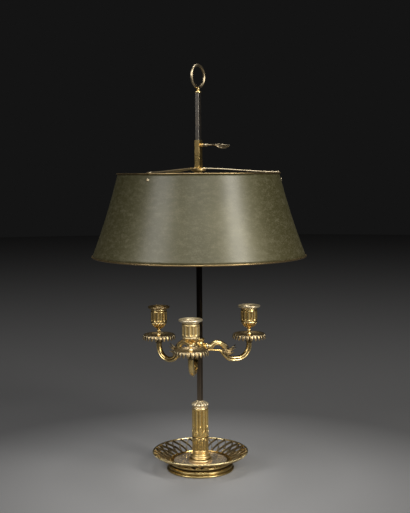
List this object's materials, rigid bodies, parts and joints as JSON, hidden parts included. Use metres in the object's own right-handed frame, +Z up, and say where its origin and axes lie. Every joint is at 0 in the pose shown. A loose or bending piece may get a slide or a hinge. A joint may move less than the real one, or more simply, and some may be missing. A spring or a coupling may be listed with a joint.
{
  "type": "bouillotte lamp",
  "caption": "Candle table lamp: a square rod on a pierced dish carries a sliding cluster of candle arms and a sliding painted drum shade, each held by a thumb key, under a ring finial.",
  "frame": {"origin": "middle of the foot's underside, on the rod's axis", "axes": "+Z up along the rod, +X towards the shade's thumb key, +Y towards the candle cluster's thumb key"},
  "size_m": [0.3516, 0.3516, 0.6681],
  "materials": {
    "gilt_brass": "old gilt brass, softly polished, darker in the hollows",
    "steel": "dull grey steel, satin",
    "olive_paint": "olive green paint with a soft sheen and faint mottling"
  },
  "bodies": {
    "base": {"base_dish": "gilt_brass", "gallery": "gilt_brass", "gallery_rim": "gilt_brass", "column_base": "gilt_brass", "column": "gilt_brass", "column_cap": "gilt_brass", "rod": "steel", "rod_washer": "steel", "rod_nut": "steel", "finial_collar": "gilt_brass", "finial_ring": "gilt_brass"},
    "shade_carrier": {"shade_sleeve": "gilt_brass", "shade_hub": "gilt_brass", "spider_arm_1": "gilt_brass", "spider_arm_2": "gilt_brass", "spider_arm_3": "gilt_brass", "spider_rivets": "gilt_brass", "shade_body": "olive_paint", "shade_top_rim": "gilt_brass", "shade_bottom_rim": "gilt_brass", "shade_screws": "gilt_brass", "shade_nuts": "gilt_brass"},
    "shade_thumb_key": {"shade_key": "gilt_brass"},
    "candle_cluster": {"candle_hub": "gilt_brass", "candle_arm_1": "gilt_brass", "candle_arm_2": "gilt_brass", "candle_arm_3": "gilt_brass", "drip_pan_1": "gilt_brass", "drip_pan_2": "gilt_brass", "drip_pan_3": "gilt_brass", "nozzle_1": "gilt_brass", "nozzle_2": "gilt_brass", "nozzle_3": "gilt_brass", "nozzle_stud_1": "steel", "nozzle_stud_2": "steel", "nozzle_stud_3": "steel"},
    "candle_thumb_key": {"candle_key": "gilt_brass"},
    "candle_ring_1": {"bobeche_1": "gilt_brass"},
    "candle_ring_2": {"bobeche_2": "gilt_brass"},
    "candle_ring_3": {"bobeche_3": "gilt_brass"}
  },
  "joints": [
    {"name": "shade_slide", "type": "slide", "parent": "base", "child": "shade_carrier", "axis": [0, 0, 1], "range_m": [-0.15, 0.075]},
    {"name": "candle_slide", "type": "slide", "parent": "base", "child": "candle_cluster", "axis": [0, 0, 1], "range_m": [-0.075, 0.12]},
    {"name": "shade_key_turn", "type": "hinge", "parent": "shade_carrier", "child": "shade_thumb_key", "pos_m": [0, 0, 0.5379], "axis": [1, 0, 0], "range_deg": [0, 270]},
    {"name": "candle_key_turn", "type": "hinge", "parent": "candle_cluster", "child": "candle_thumb_key", "pos_m": [0, 0, 0.197], "axis": [0, 1, 0], "range_deg": [0, 270]},
    {"name": "candle_ring_1_lift", "type": "slide", "parent": "candle_cluster", "child": "candle_ring_1", "axis": [0, 0, 1], "range_m": [0, 0.03]},
    {"name": "candle_ring_2_lift", "type": "slide", "parent": "candle_cluster", "child": "candle_ring_2", "axis": [0, 0, 1], "range_m": [0, 0.03]},
    {"name": "candle_ring_3_lift", "type": "slide", "parent": "candle_cluster", "child": "candle_ring_3", "axis": [0, 0, 1], "range_m": [0, 0.03]}
  ]
}
